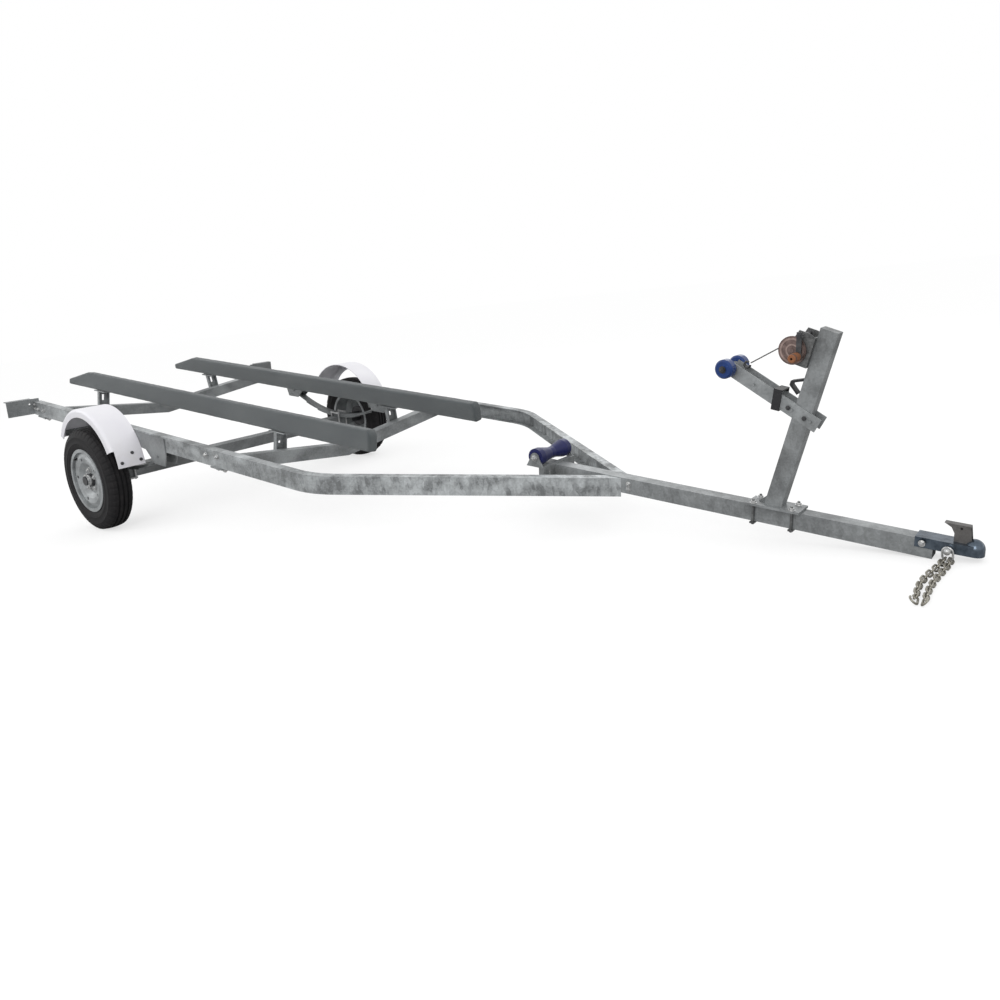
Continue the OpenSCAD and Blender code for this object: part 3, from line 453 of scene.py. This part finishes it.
def bunk_carpet(side_name):
    """One bunk, which rises from a thin rear tip to its full height and is nosed down in front."""
    side = SIDES[side_name]
    node = side_name + "_bunk"
    tilt = LEVEL @ Matrix.Rotation(side * BUNK_LEAN, 4, "X")
    low, high = level_box(node, tilt.inverted())
    corner, corner_steps = 0.011, 6
    ramp, tip = 0.250, 0.034
    nose, nose_drop = 0.014, 0.030
    full = high.z - low.z
    mid_y, half_w = (low.y + high.y) / 2, (high.y - low.y) / 2

    def top_at(x):
        from_rear, from_front = x - low.x, high.x - x
        rise = min(1.0, from_rear / ramp)
        drop = max(0.0, 1 - from_front / nose)
        return low.z + tip + (full - tip) * rise - nose_drop * drop

    def section(x, shrink):
        points = []
        top, bottom = top_at(x) - shrink, low.z + shrink
        half = half_w - shrink
        r = min(corner, (top - bottom) / 2 - 0.001)
        corners = (
            (half - r, top - r, 0),
            (r - half, top - r, 90),
            (r - half, bottom + r, 180),
            (half - r, bottom + r, 270),
        )
        for y, z, start in corners:
            for k in range(corner_steps):
                a = math.radians(start + 18 * k)
                points.append(Vector((x, mid_y + y + r * math.cos(a), z + r * math.sin(a))))
        return points

    cap, step = 0.006, 0.012
    count = int((high.x - low.x) / step)
    rings = [section(low.x + inset, shrink) for shrink, inset in BUNK_ENDS]
    for k in range(count + 1):
        rings.append(section(low.x + cap + (high.x - low.x - 2 * cap) * k / count, 0.0))
    rings += [section(high.x - inset, shrink) for shrink, inset in reversed(BUNK_ENDS)]

    wave_scale, fuzz_scale, sink = 28, 160, 0.0014
    for ring in rings:
        for point in ring:
            inward = Vector((0, mid_y - point.y, (low.z + high.z) / 2 - point.z)).normalized()
            swell = 0.5 + 0.5 * noise.noise(point * wave_scale) + 0.5 * noise.noise(point * fuzz_scale)
            point += inward * sink * max(0.0, swell)
    bm = bmesh.new()
    ring_loft(bm, [[tilt @ p for p in ring] for ring in rings])
    piece = new_piece(side_name + "_bunk_carpet", bm, MATERIALS["carpet"], "frame", 60)
    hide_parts(node)


# Tyres: ribbed tread with shoulder cuts, and moulded rings on the sidewalls

BEAD_R = 0.1545
WALL_HALF_W = 0.060
# The sidewall from the shoulder to the bead, for a tyre that is WALL_HALF_W to each side: radius, distance
# from the middle, and whether the shoulder cuts reach it.
SIDEWALL = (
    (0.2540, 0.0470, True),
    (0.2470, 0.0510, True),
    (0.2380, 0.0545, False),
    (0.2300, 0.0570, False),
    (0.2285, 0.0580, False),
    (0.2255, 0.0580, False),
    (0.2240, 0.0575, False),
    (0.2120, 0.0588, False),
    (0.2000, 0.0585, False),
    (0.1985, 0.0592, False),
    (0.1950, 0.0592, False),
    (0.1935, 0.0578, False),
    (0.1840, 0.0560, False),
    (0.1760, 0.0530, False),
    (0.1700, 0.0500, False),
    (BEAD_R + 0.002, 0.0490, False),
    (BEAD_R, 0.0440, False),
)


def tread_profile(tread_r):
    """The tread from side to side: a crown with square grooves, and cuts along both edges."""
    half_w, cut_from = 0.040, 0.033
    crown_drop, crown_power, skin = 0.0045, 2.2, 0.0005
    groove_d, groove_w = 0.0065, 0.0045
    grooves = (-0.021, 0.0, 0.021)
    groove_edges = (-groove_w, -groove_w * 0.6, groove_w * 0.6, groove_w)
    across = {-half_w, -0.034, 0.034, half_w, *(g + edge for g in grooves for edge in groove_edges)}
    profile = []
    for y in sorted(across):
        crown = tread_r - skin - crown_drop * (abs(y) / half_w) ** crown_power
        in_groove = any(abs(y - g) < groove_w * 0.8 for g in grooves)
        profile.append((crown - (groove_d if in_groove else 0), y, abs(y) > cut_from))
    return profile


def tyre(side_name):
    centre = Vector(JOINTS[side_name + "_wheel_spin"]["pos_m"])
    node = side_name + "_tyre"
    low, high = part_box(node)
    tread_r = (high.z - low.z) / 2
    wide = (high.y - low.y) / 2 / WALL_HALF_W
    profile = [(r, -y * wide, cut) for r, y, cut in reversed(SIDEWALL)]
    profile += tread_profile(tread_r)
    profile += [(r, y * wide, cut) for r, y, cut in SIDEWALL]
    steps, cut_pitch, cut_len, cut_d = 432, 9, 3, 0.0032
    rings = []
    for k in range(steps):
        a = 2 * math.pi * k / steps
        notch = cut_d if k % cut_pitch < cut_len else 0.0
        ring = []
        for r, y, cut in profile:
            dist = r - (notch if cut else 0.0)
            ring.append(centre + Vector((dist * math.cos(a), y, dist * math.sin(a))))
        rings.append(ring)
    bm = bmesh.new()
    ring_loft(bm, rings, closed=True)
    piece = new_piece(side_name + "_tyre_tread", bm, MATERIALS["rubber"], side_name + "_wheel", 30)
    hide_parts(node)


# Wheels

LUG_COUNT = 5
LUG_CIRCLE_R = 0.0508
VALVE_R = 0.134
# The hub's cap with its rolled edge: radius, and height from the hub's outer face.
DUST_CAP = (
    (0.0260, -0.024),
    (0.0275, -0.022),
    (0.0275, -0.017),
    (0.0250, -0.015),
    (0.0242, -0.006),
    (0.0225, -0.0022),
    (0.0160, -0.0008),
    (0.0030, -0.0002),
)


def wheel_trim(side_name):
    """Lug nuts, the hub's cap and the valve."""
    side = SIDES[side_name]
    centre = Vector(JOINTS[side_name + "_wheel_spin"]["pos_m"])
    body = side_name + "_wheel"
    outward = Vector((0, side, 0))
    low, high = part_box(side_name + "_hub")
    hub_face = high.y if side > 0 else low.y
    rim = []
    for v in NODES[side_name + "_wheel_rim"].data.vertices:
        rim.append((math.hypot(v.co.x - centre.x, v.co.z - centre.z), v.co.y))

    lug_zone, gap = 0.072, 0.0002
    disc_y = side * (max(side * y for r, y in rim if r < lug_zone) + gap)
    places = []
    for k in range(LUG_COUNT):
        spot = around(centre, LUG_CIRCLE_R, math.radians(360 / LUG_COUNT * k + 90))
        places.append((Vector((spot.x, disc_y, spot.z)), outward))
    bolts(side_name + "_lug_nuts", places, 0.0205, MATERIALS["hardware"], body, Matrix.Identity(4))

    bm = bmesh.new()
    turned(bm, frame_along(Vector((centre.x, hub_face, centre.z)), outward), DUST_CAP, 40)
    new_piece(side_name + "_dust_cap", bm, MATERIALS["hardware"], body)

    near, inboard, sunk, tip_y = 0.012, 0.050, 0.006, 0.0585
    seat = max(side * y for r, y in rim if abs(r - VALVE_R) < near and side * (y - centre.y) < inboard)
    spot = around(centre, VALVE_R, math.radians(126))
    foot = Vector((spot.x, side * (seat - sunk), spot.z))
    length = side * (side * tip_y + centre.y) - seat
    stem = 0.6 * length
    profile = [(0.0075, 0), (0.0070, 0.007), (0.0042, 0.009), (0.0040, 0.004 + stem)]
    profile += [(0.0046, 0.005 + stem), (0.0046, 0.005 + length), (0.0015, sunk + length)]
    bm = bmesh.new()
    turned(bm, frame_along(foot, outward), profile, 18)
    new_piece(side_name + "_valve", bm, MATERIALS["rubber"], body)


# Winch: gear teeth, wound cable and a ribbed grip

GEAR_TEETH = 96
PINION_TEETH = 19
# How far a tooth stands out, at equal steps from one tooth to the next.
TOOTH_RISE = (0.0, 0.0, 0.35, 1.0, 1.0, 1.0, 0.35, 0.0)


def gear_ring(name, body, centre, radius, width, teeth, material, bore):
    """A toothed ring whose teeth end at the radius, so those of two gears pass without interlocking."""
    depth = 2.2 * radius / teeth
    steps = teeth * len(TOOTH_RISE)
    rings = []
    for k in range(steps):
        a = 2 * math.pi * k / steps
        r = radius - depth * (1 - TOOTH_RISE[k % len(TOOTH_RISE)])
        ring = []
        for dist, y in ((r, -width / 2), (r, width / 2), (bore, width / 2), (bore, -width / 2)):
            ring.append(Vector((centre.x + dist * math.cos(a), centre.y + y, centre.z + dist * math.sin(a))))
        rings.append(ring)
    bm = bmesh.new()
    ring_loft(bm, rings, closed=True)
    new_piece(name, bm, material, body, 25)


def wound_cable(drum_at, wire_r, core_r, half_len):
    """The cable's top layer as a helix round the drum."""
    turns = int(2 * half_len / (2 * wire_r))
    steps, wire_sides = 40, 8
    rings = []
    for k in range(turns * steps + 1):
        a = 2 * math.pi * k / steps
        y = -half_len + wire_r + (2 * half_len - 2 * wire_r) * k / (turns * steps)
        out = Vector((math.cos(a), 0, math.sin(a)))
        ring = []
        for j in range(wire_sides):
            b = 2 * math.pi * j / wire_sides
            across = Vector((0, y + wire_r * math.sin(b), 0))
            ring.append(drum_at + out * (core_r + wire_r * math.cos(b)) + across)
        rings.append(ring)
    bm = bmesh.new()
    ring_loft(bm, rings)
    new_piece("wound_cable", bm, MATERIALS["wire"], "winch_drum_body", 60)


def winch_detail():
    """Toothed rings on both gears, two raised rims on the big gear's face, and the cable on the drum."""
    drum_at = Vector(JOINTS["winch_drum_spin"]["pos_m"])
    crank_at = Vector(JOINTS["winch_crank_spin"]["pos_m"])
    low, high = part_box("winch_drum")
    gear_r = (high.z - low.z) / 2
    frame_low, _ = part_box("winch_frame")
    gear_y = frame_low.y - 0.006
    gear_at = Vector((drum_at.x, gear_y, drum_at.z))
    pinion_at = Vector((crank_at.x, gear_y, crank_at.z))
    pinion_r = (crank_at - drum_at).length - gear_r - 0.0005
    gear_w, pinion_w, proud = 0.0076, 0.0108, 0.0002
    gear_band, pinion_band = 0.006, 0.004
    gear_ring("winch_gear_teeth", "winch_drum_body", gear_at, gear_r + proud, gear_w, GEAR_TEETH,
              MATERIALS["gear"], gear_r - gear_band)

    rim_h, rim_w = 0.0042, 0.006
    hub_inner, hub_outer = 0.017, 0.022
    bm = bmesh.new()
    for inner, outer in ((gear_r - gear_band - rim_w, gear_r - gear_band), (hub_inner, hub_outer)):
        profile = [(inner, 0.0), (inner, rim_h), (outer, rim_h), (outer, 0.0)]
        turned(bm, frame_along(gear_at, (0, -1, 0)), profile, 64)
    new_piece("winch_gear_rims", bm, MATERIALS["gear_edge"], "winch_drum_body")

    wire_r, core_r, half_len = 0.0024, 0.0283, 0.033
    wound_cable(Vector((drum_at.x, 0, drum_at.z)), wire_r, core_r, half_len)
    gear_ring("winch_pinion_teeth", "winch_crank_body", pinion_at, pinion_r + proud, pinion_w, PINION_TEETH,
              MATERIALS["hardware"], pinion_r - pinion_band)


def crank_grip():
    """A barrel grip with shallow ribs over the crank's pin."""
    low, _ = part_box("winch_crank")
    outer = [v.co for v in NODES["winch_crank"].data.vertices if v.co.y < low.y + 0.002]
    centre = sum(outer, Vector()) / len(outer)
    length, r, pin_r = 0.056, 0.0152, 0.006
    end, edge, ribs, rib_d = 0.006, 0.003, 14, 0.0007
    profile = [(pin_r, 0.0), (r * 0.80, 0.0), (r * 0.95, edge)]
    for k in range(ribs + 1):
        swell = 1 + 0.05 * math.sin(math.pi * k / ribs)
        profile.append((r * swell - (rib_d if k % 2 else 0.0), end + (length - 2 * end) * k / ribs))
    profile += [(r * 0.95, length - edge), (r * 0.80, length), (pin_r, length)]
    bm = bmesh.new()
    turned(bm, frame_along(Vector((centre.x, low.y, centre.z)), (0, 1, 0)), profile, 40)
    new_piece("crank_grip", bm, MATERIALS["grip"], "winch_crank_body")


# Bolts and small hardware on the frame. Each number in a bolts() call is the head's width across flats.

# Bolts on a rail above the front crossmember's feet: ahead of the axle, and height.
RAIL_BOLTS = ((0.874, 0.506), (0.966, 0.509))
# Bolts on a rail by the rear crossmember and at the light bracket: ahead of the axle.
REAR_BOLTS_X = (-0.835, -0.905)
LIGHT_BOLT_X = -0.95
# A fender's bolts: the angle round the arch in degrees from straight ahead, and the share of the width from
# the inner edge. The arch is centred above the axle by ARCH_RISE.
FENDER_BOLTS = ((11.6, 0.12), (11.6, 0.74), (19.5, 0.34), (151.7, 0.15), (151.7, 0.7))
ARCH_RISE = 0.068


def both_sides(y, places):
    """Bolt places on both sides of the trailer, at a distance from its middle, facing outwards."""
    return [(Vector((x, side * y, z)), (0, side, 0)) for side in SIDES.values() for x, z in places]


def frame_bolts():
    """Bolts on the rails, the crossmembers' feet, the tongue, the winch post's base and the light brackets."""
    hardware = MATERIALS["hardware"]
    rail_low, rail_high = level_box("port_rail")
    rail_y = rail_high.y
    mid_z = (rail_low.z + rail_high.z) / 2
    rail_places = [*RAIL_BOLTS, *((x, mid_z) for x in REAR_BOLTS_X)]
    bolts("rail_bolts", both_sides(rail_y, rail_places), 0.017, hardware)

    foot_in, foot_t, foot_spread = 0.024, 0.008, 0.027
    feet = []
    for side in SIDES.values():
        for name in ("front_crossmember", "rear_crossmember"):
            foot_low, foot_high = level_box(name)
            x = (foot_low.x + foot_high.x) / 2
            for dx in (-foot_spread, foot_spread):
                feet.append((Vector((x + dx, side * (rail_y - foot_in), rail_low.z - foot_t)), (0, 0, -1)))
    bolts("foot_bolts", feet, 0.022, hardware)

    tongue_low, tongue_high = level_box("tongue")
    nose_x, keel_x = 2.748, 2.36
    joints = ((nose_x, tongue_high.z - 0.022), (nose_x, tongue_low.z + 0.020), (keel_x, tongue_low.z + 0.03))
    bolts("tongue_bolts", both_sides(tongue_high.y, joints), 0.015, hardware)

    leg_in, leg_out, base_t = 0.009, 0.0055, 0.008
    base_low, base_high = level_box("post_u_bolts")
    nuts = []
    for x in (base_low.x + leg_in, base_high.x - leg_in):
        for side in SIDES.values():
            place = Vector((x, side * (tongue_high.y + leg_out), tongue_high.z + base_t))
            nuts.append((place, (0, 0, 1)))
    bolts("post_base_nuts", nuts, 0.017, hardware)

    bracket = ((LIGHT_BOLT_X, mid_z), (LIGHT_BOLT_X, mid_z + 0.022))
    bolts("light_bracket_bolts", both_sides(rail_y, bracket), 0.012, hardware)


def fender_bolts():
    """Three bolt heads low on each fender's front, and two behind."""
    arch_z = axle.z + ARCH_RISE
    for side_name, side in SIDES.items():
        low, high = level_box(side_name + "_fender")
        inner, outer = (low.y, high.y) if side > 0 else (high.y, low.y)
        places = []
        for angle, share in FENDER_BOLTS:
            a = math.radians(angle)
            out = Vector((math.cos(a), 0, math.sin(a)))
            places.append((Vector((0, inner + (outer - inner) * share, arch_z)) + out * (high.z - arch_z), out))
        bolts(side_name + "_fender_bolts", places, 0.011, MATERIALS["dark_steel"])


def arm_bolts():
    """Bolts at the ends of the roller shafts, and two through the bow arm near the post."""
    low, high = level_box("bow_roller_shaft")
    shaft = Vector(((low.x + high.x) / 2, 0, (low.z + high.z) / 2))
    nut_in = 0.006
    bolts("bow_shaft_nuts", both_sides(high.y - nut_in, [(shaft.x, shaft.z)]), 0.017, MATERIALS["dark_steel"])

    arm = level_points("bow_arm")
    arm_w = max(p.y for p in arm)
    side_view = [Vector((p.x, 0, p.z)) for p in arm]
    reach = max((p - shaft).length for p in side_view)
    far = [p for p in side_view if (p - shaft).length > 0.9 * reach]
    tail = sum(far, Vector()) / len(far)
    spots = [shaft.lerp(tail, share) for share in (0.74, 0.93)]
    places = both_sides(arm_w, [(spot.x, spot.z) for spot in spots])
    bolts("arm_bolts", places, 0.011, MATERIALS["dark_steel"])

    low, high = level_box("keel_roller_shaft")
    middle = ((low.x + high.x) / 2, (low.z + high.z) / 2)
    nut_in = 0.007
    bolts("shaft_nuts", both_sides(high.y - nut_in, [middle]), 0.019, MATERIALS["hardware"])


def coupler_hardware():
    """A bolt through the coupler's sleeve and a bright dome on the chain's anchor bolt."""
    low, _ = level_box("coupler")
    sleeve_len, bolt_in = 0.050, 0.024
    sleeve = [p for p in level_points("coupler") if p.x < low.x + sleeve_len]
    half_w = max(p.y for p in sleeve)
    mid_z = (min(p.z for p in sleeve) + max(p.z for p in sleeve)) / 2
    bolts("coupler_bolts", both_sides(half_w, [(low.x + bolt_in, mid_z)]), 0.015, MATERIALS["hardware"])

    low, high = level_box("chain_anchor_bolt")
    r = (high.z - low.z) / 2
    middle = Vector(((low.x + high.x) / 2, low.y, (low.z + high.z) / 2))
    dome = [(0.90, -0.001), (0.90, 0.001), (0.74, 0.004), (0.46, 0.0065), (0.10, 0.0075)]
    bm = bmesh.new()
    turned(bm, LEVEL @ frame_along(middle, (0, -1, 0)), [(share * r, z) for share, z in dome], 32)
    new_piece("anchor_bolt_dome", bm, MATERIALS["hardware"], "frame", 60)


# Floor, light and camera

FLOOR_SIZE = 60.0
FLOOR_WHITE = 0.98
# The grey that the floor shows to anything but the camera, and the share of plain white that the camera sees.
FLOOR_GREY = 0.42
FLOOR_GLOW = 0.62
LAMP_AIM = Vector((0.3, 0, 0.3))
# Each lamp's name, place, size and power in watts.
LAMPS = (
    ("key", (3.4, -6.0, 3.6), 3.5, 170.0),
    ("fill", (-5.0, -4.0, 3.0), 4.0, 60.0),
    ("rim", (-1.0, 6.0, 4.5), 4.0, 60.0),
)


def flat_colour(level):
    return (level, level, level, 1)


def studio():
    """A white floor that keeps the object's shadow, a white world and three soft lamps."""
    bm = bmesh.new()
    bmesh.ops.create_grid(bm, x_segments=1, y_segments=1, size=FLOOR_SIZE)
    mesh = bpy.data.meshes.new("floor")
    bm.to_mesh(mesh)
    bm.free()
    floor = bpy.data.objects.new("floor", mesh)
    bpy.context.scene.collection.objects.link(floor)
    s = Shader("floor")
    s.finish(flat_colour(FLOOR_WHITE), 0.9, Specular_IOR_Level=0.0)
    glow = s.node("Emission", Color=flat_colour(1), Strength=1.0)
    ground = s.node("BsdfDiffuse", Color=flat_colour(FLOOR_GREY))
    rays = s.node("LightPath").outputs["Is Camera Ray"]
    seen = s.node("MixShader", Fac=FLOOR_GLOW)
    s.put(seen.inputs[1], s.bsdf.outputs[0])
    s.put(seen.inputs[2], glow.outputs[0])
    blend = s.node("MixShader", Fac=rays)
    s.put(blend.inputs[1], ground.outputs[0])
    s.put(blend.inputs[2], seen.outputs[0])
    s.put(s.tree.nodes["Material Output"].inputs["Surface"], blend.outputs[0])
    mesh.materials.append(s.material)

    world = bpy.data.worlds.new("studio")
    bpy.context.scene.world = world
    world.use_nodes = True
    background = world.node_tree.nodes["Background"]
    background.inputs["Color"].default_value = flat_colour(1)
    background.inputs["Strength"].default_value = 1.0

    for name, place, size, power in LAMPS:
        lamp = bpy.data.lights.new(name, "AREA")
        lamp.size = size
        lamp.energy = power
        holder = bpy.data.objects.new(name, lamp)
        holder.location = place
        holder.rotation_euler = (LAMP_AIM - Vector(place)).to_track_quat("-Z", "Y").to_euler()
        bpy.context.scene.collection.objects.link(holder)


# The photograph's viewpoint on the level trailer: place, then heading, pitch and roll in degrees.
CAMERA_AT = Vector((4.3597, -2.5622, 1.5184))
CAMERA_TURN = (124.5007, -14.1965, -0.3493)


def camera():
    heading, pitch, roll = (math.radians(d) for d in CAMERA_TURN)
    level_way = Vector((math.cos(heading), math.sin(heading), 0))
    forward = Vector((level_way.x * math.cos(pitch), level_way.y * math.cos(pitch), math.sin(pitch)))
    right = forward.cross(Vector((0, 0, 1))).normalized()
    up = right.cross(forward)
    turned_right = right * math.cos(roll) + up * math.sin(roll)
    turned_up = up * math.cos(roll) - right * math.sin(roll)
    rotation = Matrix((turned_right, turned_up, -forward)).transposed().to_4x4()
    data = bpy.data.cameras.new("camera")
    data.lens = 28.44
    data.sensor_width = 36.0
    data.shift_x = -0.1012
    data.shift_y = -0.0744
    data.clip_end = 200
    holder = bpy.data.objects.new("camera", data)
    holder.matrix_world = LEVEL @ Matrix.Translation(CAMERA_AT) @ rotation
    bpy.context.scene.collection.objects.link(holder)
    bpy.context.scene.camera = holder


bpy.context.scene.view_settings.view_transform = "Standard"
camera()
studio()
dress_nodes()
for side_name in SIDES:
    bunk_carpet(side_name)
    tyre(side_name)
    wheel_trim(side_name)
winch_detail()
crank_grip()
frame_bolts()
fender_bolts()
arm_bolts()
coupler_hardware()
